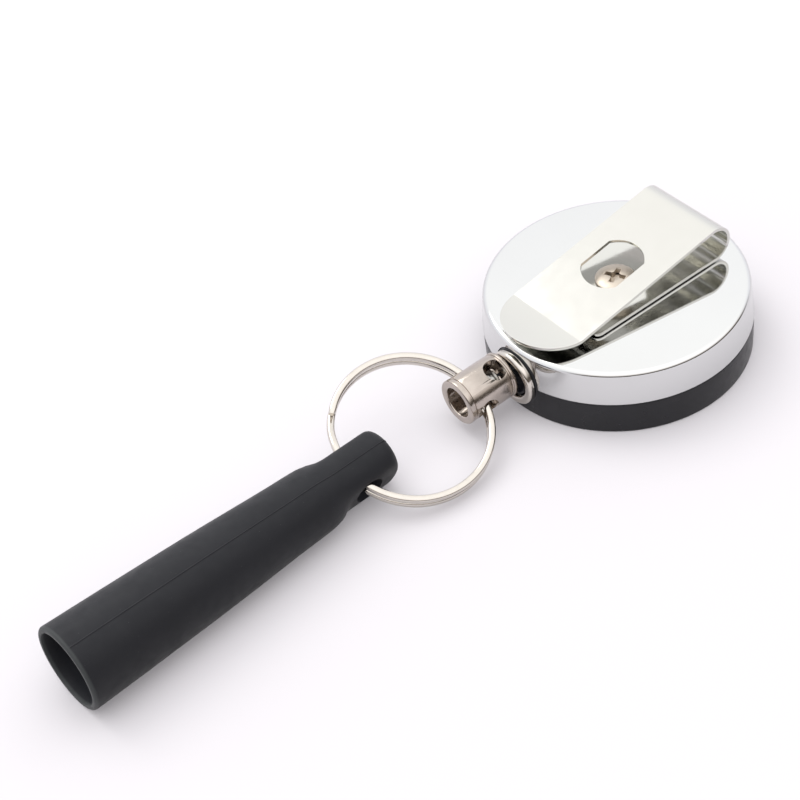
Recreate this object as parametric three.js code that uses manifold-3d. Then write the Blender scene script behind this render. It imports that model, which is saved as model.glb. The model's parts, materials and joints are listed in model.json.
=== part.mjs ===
// Retractable badge reel with a belt clip, a split ring and a rubber tool sleeve.
// Millimetres, +Z up. The origin is the centre of the reel's flat front face, which lies on the
// ground plane. +X is the way the cord pulls out, and the belt clip stands on top.

import * as THREE from "three";
import * as BufferGeometryUtils from "three/addons/utils/BufferGeometryUtils.js";
import Module from "manifold-3d";

const wasm = await Module();
wasm.setup();

// ---------------------------------------------------------------- driving dimensions

const DEG = Math.PI / 180;
const FIT_GAP = 0.05; // between pieces that seat on each other
const ROUND_STEPS = 48; // facets round the case
const SPOOL_STEPS = 36; // facets round the pieces inside it
const SMALL_STEPS = 24; // facets round the small turned parts

const caseRadius = 20.1;
const coverTopRadius = 19.65; // the cover narrows a little towards the back
const caseHeight = 11.05;
const splitHeight = 5.5; // where the chrome cover meets the black housing
const coverWall = 0.65;
const coverInside = caseHeight - coverWall;
const coverEdgeRadius = 0.8;
const housingRadius = 20.05;
const housingEdgeRadius = 0.35;
const housingFloor = 1.3;
const spigotOuter = 18.7; // wall of the housing that stands inside the cover
const spigotInner = 17.8;
const spigotTop = 9.9;
const discRadius = 16.8; // plain disc let into the front face
const discThickness = 0.4;

const clipSeatRadius = 3.6; // raised round the screw hole, under the clip
const clipSeatTop = 11.2;
const screwHoleRadius = 1.5;
const screwShankRadius = 1.2;
const screwHeadRadius = 3.0;
const screwHeadHeight = 1.0;
const screwTip = 5.6;
const recessReach = 1.6; // the cross recess in the screw's head
const recessHalfWidth = 0.34;

const arborRadius = 2.5;
const arborFlangeRadius = 3.6;
const arborTop = coverInside - 0.1;
const arborFlangeTop = 1.95;

const spoolBore = 2.6;
const spoolBottom = 2.0;
const spoolWeb = 0.7;
const hubOuter = 12.0;
const hubTop = 8.4;
const cavityRadius = 10.4; // room for the power spring
const coverLedge = 7.6;
const coverRecess = 11.1;
const flangeRadius = 17.2;
const lighteningCount = 6;
const lighteningRadius = 1.1;
const lighteningCircle = 14.9;
const cordHeight = 5.7; // height of the cord's groove and of the way out
const cordRadius = 0.4;
const grooveHeight = 2.5;
const flangeThickness = 0.65;
const windingOuter = 13.4;
const springTurns = 6;
const springStrip = 0.22;
const springInner = 3.2;

const eyeletRadius = 4.3;
const eyeletBarrelRadius = 3.3;
const eyeletInner = 2.75;
const eyeletStart = 18.05;
const eyeletBack = 19.8; // under the lip
const eyeletFront = 20.9;
const bossRadius = 4.42;
const bossStart = 14;
const linerBore = 2.25;

const barrelRadius = 3.55; // turned fitting on the cord's end
const barrelBack = eyeletFront + FIT_GAP;
const barrelFront = 29.5;
const barrelBoreRadius = 2.35;
const barrelWall = 1.25;
const crossHoleX = 26.35;
const crossHoleRadius = 1.8;
const sidePortX = 23.1;
const sidePortRadius = 1.6;
const collarWidth = 0.85; // the collar at each end of the fitting
const fittingY = -1.7; // the cord leans on one side of its guide
const fittingRoll = -21.5 * DEG; // roll of the fitting and the split ring about the cord

const ringRadius = 11.45; // to the middle of the wire
const wireRadius = 0.58;
const layerOffset = 0.6; // half the distance between the two turns
const ringPlay = 0.35; // how far the wire hangs off the middle of the cross hole
const ringSide = -0.5; // and how far it has slid through it
const ringCentreX = crossHoleX - ringPlay + ringRadius;

const sleeveLength = 54.4;
const sleeveMouthRadius = 6.45;
const sleeveWall = 0.9;
const sleeveShoulder = 43;
const sleeveEndRadius = 4.4;
const sleeveEndCorner = 2.1;
const sleeveBoreDepth = 39;
const sleeveBoreTaper = 1.45;
const sleeveHoleAt = 48.8; // from the mouth
const sleeveHoleRadius = 2.3;
const sleeveFlat = 3.5; // from the axis to each flat beside the hole
const sleeveMouth = new THREE.Vector3(96.85, 0.95, 6.49);
const sleeveYaw = 3.36 * DEG;
const sleevePitch = 1.85 * DEG;

const clipWidth = 14.5;
const clipThickness = 0.5;
const clipBottom = clipSeatTop + FIT_GAP;
const clipBendRadius = 2.95; // outside of the bend
const clipBendX = -13.15;
const clipBaseEnd = 10.3;
const clipSlope = -9.7 * DEG; // fall of the upper leaf towards its nose
const clipRidgeX = 13.2;
const clipNoseX = 19.8;
const clipNoseRise = 0.5;
const clipNosePower = 1.6; // how late the nose turns up
const windowRadius = 4.65;
const windowWidth = 7.4;
const windowX = 0.4;

// ---------------------------------------------------------------- materials

const finish = (color, roughness, metalness) => new THREE.MeshStandardMaterial({ color, roughness, metalness });
const chrome = finish(0xe8eaee, 0.06, 1.0);
const nickel = finish(0xc9c2b8, 0.18, 1.0);
const steel = finish(0xb4b4b2, 0.3, 1.0);
const blackPlastic = finish(0x1d1d20, 0.35, 0.0);
const acetal = finish(0xe6e3da, 0.45, 0.0);
const rubber = finish(0x25272a, 0.75, 0.0);
const cordNylon = finish(0x17171a, 0.6, 0.0);
const discMetal = finish(0x8f9296, 0.4, 0.6);

// ---------------------------------------------------------------- solids

// Turns a closed three.js geometry into a solid, with its faces outward.
function solid(geometry) {
  const bare = geometry.clone();
  bare.deleteAttribute("normal");
  bare.deleteAttribute("uv");
  const merged = BufferGeometryUtils.mergeVertices(bare, 1e-4);
  const index = merged.index.array;
  const position = merged.attributes.position.array;
  const corners = [];
  let volume = 0;
  for (let i = 0; i < index.length; i += 3) {
    const [a, b, c] = [index[i], index[i + 1], index[i + 2]];
    if (a === b || b === c || c === a) continue;
    corners.push(a, b, c);
    const va = new THREE.Vector3().fromArray(position, 3 * a);
    const vb = new THREE.Vector3().fromArray(position, 3 * b);
    const vc = new THREE.Vector3().fromArray(position, 3 * c);
    volume += va.dot(vb.cross(vc));
  }
  if (volume < 0) corners.reverse();
  const triVerts = Uint32Array.from(corners);
  return new wasm.Manifold(new wasm.Mesh({ numProp: 3, vertProperties: position, triVerts }));
}

function geometryOf(body) {
  const mesh = body.getMesh();
  const geometry = new THREE.BufferGeometry();
  geometry.setAttribute("position", new THREE.BufferAttribute(mesh.vertProperties, 3));
  geometry.setIndex(new THREE.BufferAttribute(mesh.triVerts, 1));
  geometry.computeVertexNormals();
  return geometry;
}

// Revolves a closed outline of [radius, height] points about +Z.
function revolve(outline, steps = SMALL_STEPS) {
  const points = outline.map(([radius, height]) => new THREE.Vector2(radius, height));
  points.push(points[0].clone());
  return solid(new THREE.LatheGeometry(points, steps).rotateX(Math.PI / 2));
}

// Revolves an outline of [radius, x] points about +X.
function revolveX(outline, steps = SMALL_STEPS) {
  const points = outline.map(([radius, x]) => new THREE.Vector2(radius, x));
  points.push(points[0].clone());
  return solid(new THREE.LatheGeometry(points, steps).rotateZ(-Math.PI / 2));
}

// A cylinder from one point to another.
function rod(from, to, radius, steps = 24) {
  const start = new THREE.Vector3(...from);
  const along = new THREE.Vector3(...to).sub(start);
  const geometry = new THREE.CylinderGeometry(radius, radius, along.length(), steps);
  const up = new THREE.Vector3(0, 1, 0);
  const turn = new THREE.Quaternion().setFromUnitVectors(up, along.clone().normalize());
  geometry.applyQuaternion(turn).translate(...start.addScaledVector(along, 0.5).toArray());
  return solid(geometry);
}

function box(low, high) {
  const size = high.map((value, axis) => value - low[axis]);
  const centre = high.map((value, axis) => (value + low[axis]) / 2);
  return solid(new THREE.BoxGeometry(...size).translate(...centre));
}

// A prism whose outline lies in the XY plane, from one height to another.
function prism(shape, from, to, curveSegments = 16) {
  const geometry = new THREE.ExtrudeGeometry(shape, { depth: to - from, bevelEnabled: false, curveSegments });
  return solid(geometry.translate(0, 0, from));
}

// A round wire along a curve.
function wire(curve, radius, steps, sides = 8) {
  const section = new THREE.Shape().absarc(0, 0, radius, 0, 2 * Math.PI);
  const options = { steps, extrudePath: curve, bevelEnabled: false, curveSegments: sides / 2 };
  return solid(new THREE.ExtrudeGeometry(section, options));
}

// Points of an arc in an outline, as [u, v] pairs, from one angle in degrees to another.
function arc(centreU, centreV, radius, from, to, steps = 5) {
  const points = [];
  for (let i = 0; i <= steps; i += 1) {
    const angle = (from + ((to - from) * i) / steps) * DEG;
    points.push([centreU + radius * Math.cos(angle), centreV + radius * Math.sin(angle)]);
  }
  return points;
}

const badgeReel = new THREE.Group();

function piece(name, body, material, parent = badgeReel) {
  const mesh = new THREE.Mesh(geometryOf(body), material);
  mesh.name = name;
  parent.add(mesh);
  return mesh;
}

// ---------------------------------------------------------------- case

function frontHousing() {
  const discPocket = discThickness + FIT_GAP;
  const edge = housingEdgeRadius;
  const shell = revolve([
    [discRadius + 0.1, 0],
    ...arc(housingRadius - edge - 0.1, edge, edge, -90, 0, 3),
    [housingRadius, splitHeight - 0.2],
    [housingRadius - 0.15, splitHeight - 0.05],
    [spigotOuter, splitHeight - 0.05],
    [spigotOuter, spigotTop - 0.3],
    [spigotOuter - 0.3, spigotTop],
    [spigotInner, spigotTop],
    [spigotInner, housingFloor + 0.4],
    [spigotInner - 0.4, housingFloor],
    [0, housingFloor],
    [0, discPocket],
    [discRadius + 0.1, discPocket],
  ], ROUND_STEPS);
  const bossEnd = eyeletBack - FIT_GAP;
  const boss = rod([bossStart, 0, cordHeight], [bossEnd, 0, cordHeight], bossRadius, SMALL_STEPS);
  const room = rod([0, 0, housingFloor], [0, 0, caseHeight], spigotInner, ROUND_STEPS);
  const barrelRoom = eyeletBarrelRadius + FIT_GAP;
  const wayOut = rod([bossStart, 0, cordHeight], [barrelFront, 0, cordHeight], barrelRoom, SMALL_STEPS);
  const lipRoom = rod([bossEnd, 0, cordHeight], [barrelFront, 0, cordHeight], bossRadius, SMALL_STEPS);
  return shell.add(boss.subtract(room)).subtract(wayOut).subtract(lipRoom);
}

function backCover() {
  const rim = 0.25; // the turned-in edge at the joint
  const corner = 0.4; // inside the cover's edge
  const inner = coverTopRadius - coverWall - corner;
  const edge = coverTopRadius - coverEdgeRadius;
  const cup = revolve([
    [screwHoleRadius, coverInside],
    ...arc(inner, coverInside - corner, corner, 90, 0, 2),
    [caseRadius - coverWall, splitHeight],
    [caseRadius - rim, splitHeight],
    [caseRadius, splitHeight + rim],
    ...arc(edge, caseHeight - coverEdgeRadius, coverEdgeRadius, 0, 90, 5),
    [clipSeatRadius + 0.15, caseHeight],
    [clipSeatRadius, clipSeatTop],
    [screwHoleRadius, clipSeatTop],
  ], ROUND_STEPS);
  const notchRadius = bossRadius + 0.15;
  const notch = rod([eyeletStart, 0, cordHeight], [barrelFront, 0, cordHeight], notchRadius, SMALL_STEPS);
  return cup.subtract(notch);
}

function faceDisc() {
  const edge = 0.1;
  return revolve([
    [0, 0],
    [discRadius - edge, 0],
    [discRadius, edge],
    [discRadius, discThickness],
    [0, discThickness],
  ], ROUND_STEPS);
}

piece("front_housing", frontHousing(), blackPlastic);
piece("back_cover", backCover(), chrome);
piece("face_disc", faceDisc(), discMetal);

// ---------------------------------------------------------------- arbor, spool and power spring

function arborPost() {
  const post = revolve([
    [0, housingFloor + FIT_GAP],
    [arborFlangeRadius, housingFloor + FIT_GAP],
    [arborFlangeRadius, arborFlangeTop],
    [arborRadius, arborFlangeTop],
    [arborRadius, arborTop - 0.2],
    [arborRadius - 0.2, arborTop],
    [0, arborTop],
  ]);
  const thread = rod([0, 0, screwTip - 0.6], [0, 0, arborTop + 1], screwShankRadius + 0.1, 16);
  const slot = box([0, -0.25, spoolBottom + spoolWeb], [4, 0.25, coverLedge]);
  return post.subtract(thread).subtract(slot);
}

const grooveBottom = cordHeight - grooveHeight / 2;
const grooveTop = cordHeight + grooveHeight / 2;
const knotRadius = 12.9; // where the cord's inner end comes up through the flange
const knotAngle = 130 * DEG;
const knotX = knotRadius * Math.cos(knotAngle);
const knotY = knotRadius * Math.sin(knotAngle);

function spoolBody() {
  const body = revolve([
    [spoolBore, spoolBottom],
    [hubOuter - 0.4, spoolBottom],
    [hubOuter, spoolBottom + 0.4],
    [hubOuter, grooveBottom - flangeThickness],
    [flangeRadius, grooveBottom - flangeThickness],
    [flangeRadius, grooveBottom - 0.15],
    [flangeRadius - 0.3, grooveBottom],
    [hubOuter, grooveBottom],
    [hubOuter, grooveTop],
    [flangeRadius - 0.3, grooveTop],
    [flangeRadius, grooveTop + 0.15],
    [flangeRadius, grooveTop + flangeThickness],
    [hubOuter, grooveTop + flangeThickness],
    [hubOuter, hubTop],
    [coverRecess, hubTop],
    [coverRecess, coverLedge],
    [cavityRadius, coverLedge],
    [cavityRadius, spoolBottom + spoolWeb],
    [spoolBore, spoolBottom + spoolWeb],
  ], SPOOL_STEPS);
  const cordHole = rod([knotX, knotY, grooveTop - 0.5], [knotX, knotY, hubTop + 1], cordRadius + 0.1, 8);
  const lightening = [];
  for (let i = 0; i < lighteningCount; i += 1) {
    const angle = ((i + 0.5) / lighteningCount) * 2 * Math.PI;
    const x = lighteningCircle * Math.cos(angle);
    const y = lighteningCircle * Math.sin(angle);
    lightening.push(rod([x, y, grooveBottom - 2], [x, y, grooveTop + 2], lighteningRadius, 10));
  }
  return lightening.reduce((result, hole) => result.subtract(hole), body.subtract(cordHole));
}

// The flat spiral spring, from the outside of the cavity to the arbor.
function powerSpring() {
  const stepsPerTurn = 16;
  const steps = springTurns * stepsPerTurn;
  const growth = (cavityRadius - 0.3 - springInner) / steps;
  const spiral = (offset) => {
    const points = [];
    for (let i = 0; i <= steps; i += 1) {
      const angle = (i / stepsPerTurn) * 2 * Math.PI;
      const radius = springInner + growth * i + offset;
      points.push(new THREE.Vector2(radius * Math.cos(angle), radius * Math.sin(angle)));
    }
    return points;
  };
  const outline = new THREE.Shape([...spiral(0), ...spiral(-springStrip).reverse()]);
  return prism(outline, spoolBottom + spoolWeb + 0.2, coverLedge - 0.3, 1);
}

piece("arbor_post", arborPost(), steel);
piece("spool", spoolBody(), acetal);
piece("power_spring", powerSpring(), steel);
piece("spring_cover", revolve([
  [spoolBore + 0.1, coverLedge + FIT_GAP],
  [coverRecess - FIT_GAP, coverLedge + FIT_GAP],
  [coverRecess - FIT_GAP, hubTop - 0.1],
  [spoolBore + 0.1, hubTop - 0.1],
], SPOOL_STEPS), acetal);

// ---------------------------------------------------------------- cord

piece("cord_winding", revolve([
  [hubOuter + FIT_GAP, grooveBottom + FIT_GAP],
  [windingOuter - 0.2, grooveBottom + FIT_GAP],
  [windingOuter, grooveBottom + 0.25],
  [windingOuter, grooveTop - 0.25],
  [windingOuter - 0.2, grooveTop - FIT_GAP],
  [hubOuter + FIT_GAP, grooveTop - FIT_GAP],
], SPOOL_STEPS), cordNylon);

function cordKnot() {
  const bead = 0.85; // radius of the knot, which sits a little flattened on the flange
  const seat = grooveTop + flangeThickness + FIT_GAP;
  const outline = [
    [0, grooveTop + FIT_GAP],
    [cordRadius, grooveTop + FIT_GAP],
    [cordRadius, seat],
    ...arc(0, seat + bead * Math.cos(35 * DEG), bead, -55, 90, 5),
  ];
  return revolve(outline, 12).translate([knotX, knotY, 0]);
}
piece("cord_knot", cordKnot(), cordNylon);

// The last turn lies on the winding, leaves it along a tangent and bends into the guide.
function cordRun() {
  const turnRadius = windingOuter + cordRadius + FIT_GAP;
  const lastArc = arc(0, 0, turnRadius, -90, -45, 6);
  const guide = [[14.2, -5.35], [17.2, -2.5], [18.6, fittingY], [eyeletFront - 0.2, fittingY]];
  const points = [...lastArc, ...guide].map(([x, y]) => new THREE.Vector3(x, y, cordHeight));
  return wire(new THREE.CatmullRomCurve3(points), cordRadius, 28);
}
piece("cord_run", cordRun(), cordNylon);

// ---------------------------------------------------------------- way out of the case

piece("exit_eyelet", revolveX([
  [eyeletInner, eyeletStart],
  [eyeletBarrelRadius - 0.25, eyeletStart],
  [eyeletBarrelRadius, eyeletStart + 0.25],
  [eyeletBarrelRadius, eyeletBack],
  [eyeletRadius - 0.2, eyeletBack],
  ...arc(eyeletRadius - 0.45, eyeletFront - 0.45, 0.45, 0, 90, 4),
  ...arc(eyeletInner + 0.85, eyeletFront - 0.5, 0.5, 90, 150, 3),
  [eyeletInner, eyeletFront - 0.9],
]).translate([0, 0, cordHeight]), nickel);

piece("exit_liner", revolveX([
  [linerBore + 0.35, eyeletStart + FIT_GAP],
  [eyeletInner - FIT_GAP, eyeletStart + FIT_GAP],
  [eyeletInner - FIT_GAP, eyeletFront - 0.45],
  [linerBore + 0.2, eyeletFront - 0.45],
  [linerBore, eyeletFront - 0.75],
  [linerBore, eyeletStart + 0.4],
]).translate([0, 0, cordHeight]), blackPlastic);

// ---------------------------------------------------------------- fitting on the cord's end

// The fitting, its ferrule and the split ring share the cord's axis and its roll.
const cordEnd = new THREE.Group();
cordEnd.position.set(0, fittingY, cordHeight);
cordEnd.rotation.x = fittingRoll;
badgeReel.add(cordEnd);

function swivelBarrel() {
  const waist = barrelRadius - 0.2; // in the groove beside each collar
  const collar = barrelRadius + 0.05;
  const cordHole = cordRadius + 0.15;
  const backGroove = barrelBack + collarWidth;
  const frontGroove = barrelFront - collarWidth;
  const shell = revolveX([
    [cordHole, barrelBack],
    [waist, barrelBack],
    [collar, barrelBack + 0.2],
    [collar, backGroove - 0.3],
    [waist, backGroove - 0.2],
    [waist, backGroove],
    [barrelRadius, backGroove + 0.15],
    [barrelRadius, frontGroove - 0.15],
    [waist, frontGroove],
    [waist, frontGroove + 0.15],
    [collar, frontGroove + 0.25],
    [collar, barrelFront - 0.25],
    [waist, barrelFront],
    [barrelBoreRadius + 0.2, barrelFront],
    [barrelBoreRadius, barrelFront - 0.25],
    [barrelBoreRadius, barrelBack + barrelWall],
    [cordHole, barrelBack + barrelWall],
  ]);
  const crossHole = rod([crossHoleX, -6, 0], [crossHoleX, 6, 0], crossHoleRadius, 20);
  const sidePort = rod([sidePortX, 0, 0.5], [sidePortX, 0, 6], sidePortRadius, 20);
  const portStart = box([backGroove, -3, -1], [barrelFront, 3, 7]);
  return shell.subtract(crossHole).subtract(sidePort.intersect(portStart));
}
piece("swivel_barrel", swivelBarrel(), nickel, cordEnd);

const ferruleBack = barrelBack + barrelWall + FIT_GAP;
piece("cord_ferrule", revolveX([
  [0, ferruleBack + FIT_GAP],
  [1.25, ferruleBack + FIT_GAP],
  [1.5, ferruleBack + 0.3],
  [1.5, ferruleBack + 0.6],
  [1.15, ferruleBack + 0.75],
  [1.15, ferruleBack + 1.15],
  [1.5, ferruleBack + 1.3],
  [1.5, ferruleBack + 1.7],
  [1.1, ferruleBack + 2.0],
  [0, ferruleBack + 2.0],
], 20), steel, cordEnd);

piece("cord_tail", rod([eyeletFront - 0.15, 0, 0], [ferruleBack, 0, 0], cordRadius, 8), cordNylon, cordEnd);

// ---------------------------------------------------------------- split ring

// Two turns of one wire that lie on each other, with a jog where it steps to the second layer.
class SplitRingCurve extends THREE.Curve {
  getPoint(t, target = new THREE.Vector3()) {
    const jog = 28;
    const start = 343.5;
    const travelled = t * (720 - jog);
    const rise = THREE.MathUtils.smoothstep(travelled, 360 - jog, 360);
    const angle = (start + travelled) * DEG;
    const layer = layerOffset * (2 * rise - 1);
    return target.set(ringRadius * Math.cos(angle), ringRadius * Math.sin(angle), layer);
  }
}
const splitRing = piece("split_ring", wire(new SplitRingCurve(), wireRadius, 84), nickel, cordEnd);
splitRing.position.set(ringCentreX, ringSide, 0);

// ---------------------------------------------------------------- rubber sleeve

// The sleeve's own axis runs from its mouth, at the origin, along -X to its solid end.
const sleeve = new THREE.Group();
sleeve.position.copy(sleeveMouth);
sleeve.rotation.set(0, -sleevePitch, sleeveYaw, "ZYX");
badgeReel.add(sleeve);

function sleeveBody() {
  const boreAt = (s) => sleeveMouthRadius - sleeveWall - (sleeveBoreTaper * s) / sleeveBoreDepth;
  const endCentre = sleeveEndRadius - sleeveEndCorner;
  const skin = revolveX([
    [boreAt(0) + 0.2, 0],
    ...arc(sleeveMouthRadius - 0.4, -0.4, 0.4, 90, 0, 2),
    [6.1, -12],
    [5.68, -24],
    [5.1, -36],
    [4.85, -sleeveShoulder + 0.5],
    [sleeveEndRadius, -sleeveShoulder - 0.9],
    ...arc(endCentre, sleeveEndCorner - sleeveLength, sleeveEndCorner, 0, -90, 5),
    [0, -sleeveLength],
    [0, -sleeveBoreDepth],
    [boreAt(sleeveBoreDepth) - 1, -sleeveBoreDepth],
    [boreAt(sleeveBoreDepth), -sleeveBoreDepth + 1],
    [boreAt(0), -0.25],
  ], 36);
  const reach = 2 * sleeveEndRadius;
  const [across, up] = [reach * Math.cos(fittingRoll), reach * Math.sin(fittingRoll)];
  const hole = rod([-sleeveHoleAt, -across, -up], [-sleeveHoleAt, across, up], sleeveHoleRadius);
  const flatStart = sleeveShoulder + 2.4;
  const flatDepth = 4;
  const flat = (side) => {
    const slab = new THREE.BoxGeometry(20, flatDepth, 3 * sleeveEndRadius);
    slab.translate(-flatStart - 10, side * (sleeveFlat + flatDepth / 2), 0);
    return solid(slab.rotateX(fittingRoll));
  };
  return skin.subtract(hole).subtract(flat(1)).subtract(flat(-1));
}
piece("tool_sleeve", sleeveBody(), rubber, sleeve);

// ---------------------------------------------------------------- belt clip

// The strip's side view, in X and Z: a half-round bend between the flat base and the sloping leaf.
// The strip is cut at the back of the bend, where the leaf flexes.
function clipStrip(shape) {
  const geometry = new THREE.ExtrudeGeometry(shape, { depth: clipWidth, bevelEnabled: false, curveSegments: 10 });
  return solid(geometry.rotateX(Math.PI / 2).translate(0, clipWidth / 2, 0));
}

const bendInner = clipBendRadius - clipThickness;
const bendZ = clipBottom + clipBendRadius;
const cutGap = 0.03;

function clipBase() {
  const side = new THREE.Shape();
  side.moveTo(clipBaseEnd, clipBottom);
  side.lineTo(clipBaseEnd, clipBottom + clipThickness);
  side.lineTo(clipBendX, clipBottom + clipThickness);
  side.absarc(clipBendX, bendZ, bendInner, -Math.PI / 2, -Math.PI, true);
  side.lineTo(clipBendX - clipBendRadius, bendZ);
  side.absarc(clipBendX, bendZ, clipBendRadius, Math.PI, 1.5 * Math.PI, false);
  const hole = rod([0, 0, caseHeight - 1], [0, 0, bendZ], screwHoleRadius, 20);
  const cut = box([-20, -10, bendZ - cutGap], [-10, 10, bendZ + 1]);
  return clipStrip(side).subtract(hole).subtract(cut);
}

function clipLeaf() {
  const tilt = Math.PI / 2 + clipSlope; // angle of the strip's normal where the leaf begins
  const leafPoint = (radius, x) => {
    const startX = clipBendX + radius * Math.cos(tilt);
    const startZ = bendZ + radius * Math.sin(tilt);
    return [x, startZ + (x - startX) * Math.tan(clipSlope)];
  };
  const noseShare = (x) => (x - clipRidgeX) / (clipNoseX - clipRidgeX);
  const flare = (radius, x) =>
    leafPoint(radius, clipRidgeX)[1] + clipNoseRise * noseShare(x) ** clipNosePower;
  const side = new THREE.Shape();
  side.moveTo(clipBendX - clipBendRadius, bendZ);
  side.absarc(clipBendX, bendZ, clipBendRadius, Math.PI, tilt, true);
  side.lineTo(...leafPoint(clipBendRadius, clipRidgeX - 1));
  const noseSteps = 5;
  for (let i = 0; i <= noseSteps; i += 1) {
    const x = clipRidgeX + ((clipNoseX - clipRidgeX) * i) / noseSteps;
    side.lineTo(x, flare(clipBendRadius, x));
  }
  for (let i = noseSteps; i >= 0; i -= 1) {
    const x = clipRidgeX + ((clipNoseX - clipRidgeX) * i) / noseSteps;
    side.lineTo(x, flare(bendInner, x));
  }
  side.lineTo(...leafPoint(bendInner, clipRidgeX - 1));
  side.absarc(clipBendX, bendZ, bendInner, tilt, Math.PI, false);

  const plan = new THREE.Shape();
  const noseCentre = clipNoseX - clipWidth / 2;
  plan.moveTo(-20, -clipWidth / 2);
  plan.lineTo(noseCentre, -clipWidth / 2);
  plan.absarc(noseCentre, 0, clipWidth / 2, -Math.PI / 2, Math.PI / 2, false);
  plan.lineTo(-20, clipWidth / 2);

  // A round opening whose two sides are cut straight.
  const window = new THREE.Shape();
  const flatAngle = Math.asin(windowWidth / 2 / windowRadius);
  window.absarc(windowX, 0, windowRadius, -flatAngle, flatAngle, false);
  window.absarc(windowX, 0, windowRadius, Math.PI - flatAngle, Math.PI + flatAngle, false);

  const cut = box([-20, -10, bendZ - 2], [-10, 10, bendZ]);
  return clipStrip(side).intersect(prism(plan, 8, 24)).subtract(prism(window, 12.5, 24)).subtract(cut);
}

function clipScrew() {
  const seat = clipBottom + clipThickness + FIT_GAP;
  const screw = revolve([
    [0, screwTip],
    [screwShankRadius - 0.4, screwTip],
    [screwShankRadius, screwTip + 0.5],
    [screwShankRadius, seat],
    [screwHeadRadius, seat],
    [screwHeadRadius, seat + 0.35],
    [screwHeadRadius - 0.3, seat + 0.6],
    [screwHeadRadius - 1.2, seat + 0.85],
    [0, seat + screwHeadHeight],
  ]);
  const [reach, half] = [recessReach, recessHalfWidth];
  const [floor, above] = [seat + 0.15, seat + 3];
  const slotOne = box([-reach, -half, floor], [reach, half, above]);
  const slotTwo = box([-half, -reach, floor], [half, reach, above]);
  return screw.subtract(slotOne).subtract(slotTwo);
}

piece("clip_base", clipBase(), chrome);
piece("clip_leaf", clipLeaf(), chrome);
piece("clip_screw", clipScrew(), nickel);

export default badgeReel;
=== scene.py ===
"""A retractable badge reel with a belt clip, a split ring and a rubber sleeve, dressed over its CAD frame."""

import json
import math

import bmesh
import bpy
from mathutils import Matrix, Vector
from mathutils.geometry import tessellate_polygon


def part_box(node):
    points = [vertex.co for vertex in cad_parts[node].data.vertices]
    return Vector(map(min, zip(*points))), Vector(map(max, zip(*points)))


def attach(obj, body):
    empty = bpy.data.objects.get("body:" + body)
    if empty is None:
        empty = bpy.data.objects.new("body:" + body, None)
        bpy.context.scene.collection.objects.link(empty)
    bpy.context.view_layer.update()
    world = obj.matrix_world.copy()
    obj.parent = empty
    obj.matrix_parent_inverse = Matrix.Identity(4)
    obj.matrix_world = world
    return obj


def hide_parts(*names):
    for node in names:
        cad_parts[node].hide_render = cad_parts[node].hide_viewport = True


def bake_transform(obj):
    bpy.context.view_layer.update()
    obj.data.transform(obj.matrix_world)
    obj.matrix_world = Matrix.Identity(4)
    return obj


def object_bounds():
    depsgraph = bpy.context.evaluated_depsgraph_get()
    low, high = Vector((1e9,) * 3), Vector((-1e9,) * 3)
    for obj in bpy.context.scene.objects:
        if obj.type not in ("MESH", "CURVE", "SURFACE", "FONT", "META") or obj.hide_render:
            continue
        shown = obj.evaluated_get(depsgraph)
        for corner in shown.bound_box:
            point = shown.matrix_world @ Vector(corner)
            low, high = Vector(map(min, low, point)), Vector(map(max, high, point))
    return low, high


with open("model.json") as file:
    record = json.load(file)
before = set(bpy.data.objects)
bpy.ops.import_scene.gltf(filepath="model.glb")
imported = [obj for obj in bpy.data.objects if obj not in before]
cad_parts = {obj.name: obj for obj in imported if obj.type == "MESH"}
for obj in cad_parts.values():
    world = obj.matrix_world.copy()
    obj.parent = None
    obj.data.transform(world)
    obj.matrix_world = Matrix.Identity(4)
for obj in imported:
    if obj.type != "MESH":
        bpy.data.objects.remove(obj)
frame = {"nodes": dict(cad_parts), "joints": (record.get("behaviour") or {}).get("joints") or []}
cad_box = [list(corner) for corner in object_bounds()]

# ---------------------------------------------------------------- sizes, in millimetres unless said

MM = 0.001
FULL_TURN = 2 * math.pi


def low(node):
    """The lowest corner of a CAD node, in millimetres."""
    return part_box(node)[0] / MM


def high(node):
    """The highest corner of a CAD node, in millimetres."""
    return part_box(node)[1] / MM


def joint(name):
    """One of the frame's joints."""
    return next(j for j in frame["joints"] if j["name"] == name)


def joint_place(name):
    """Where a joint sits, in millimetres."""
    return Vector(joint(name)["pos_m"]) / MM


CASE_RADIUS = high("back_cover").y
SEAT_HEIGHT = 0.15  # of the raised seat under the clip, above the rest of the cover
SEAT_TOP = high("back_cover").z
CASE_TOP = SEAT_TOP - SEAT_HEIGHT
SPLIT = low("back_cover").z
HOUSING_RADIUS = high("front_housing").y
CORD_HEIGHT = (low("exit_eyelet").z + high("exit_eyelet").z) / 2
EYELET_BACK = low("exit_eyelet").x
EYELET_FRONT = high("exit_eyelet").x
EYELET_RADIUS = high("exit_eyelet").y
EYELET_LIP = 1.1
EYELET_SEAT = EYELET_FRONT - EYELET_LIP
FITTING_BACK = low("swivel_barrel").x
FITTING_FRONT = high("swivel_barrel").x
FLANGE_RISE = 0.05  # how far the fitting's back flange stands out of its body
FITTING_RADIUS = (high("swivel_barrel").y - low("swivel_barrel").y) / 2 - FLANGE_RISE
SWING = joint_place("ring_swing")  # where the ring's wire crosses the fitting
SWING_AXIS = Vector(joint("ring_swing")["axis"])
ROLL = math.atan2(SWING_AXIS.z, SWING_AXIS.y) - math.pi  # roll of the ring about the cord
FITTING_AXIS = Vector((0, SWING.y, SWING.z))
OUTSIDE = 24  # a distance along the cord that is well past the case and its eyelet
SLEEVE_LENGTH = 54.4
SLEEVE_MOUTH = Vector((96.85, 0.95, 6.49))
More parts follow.
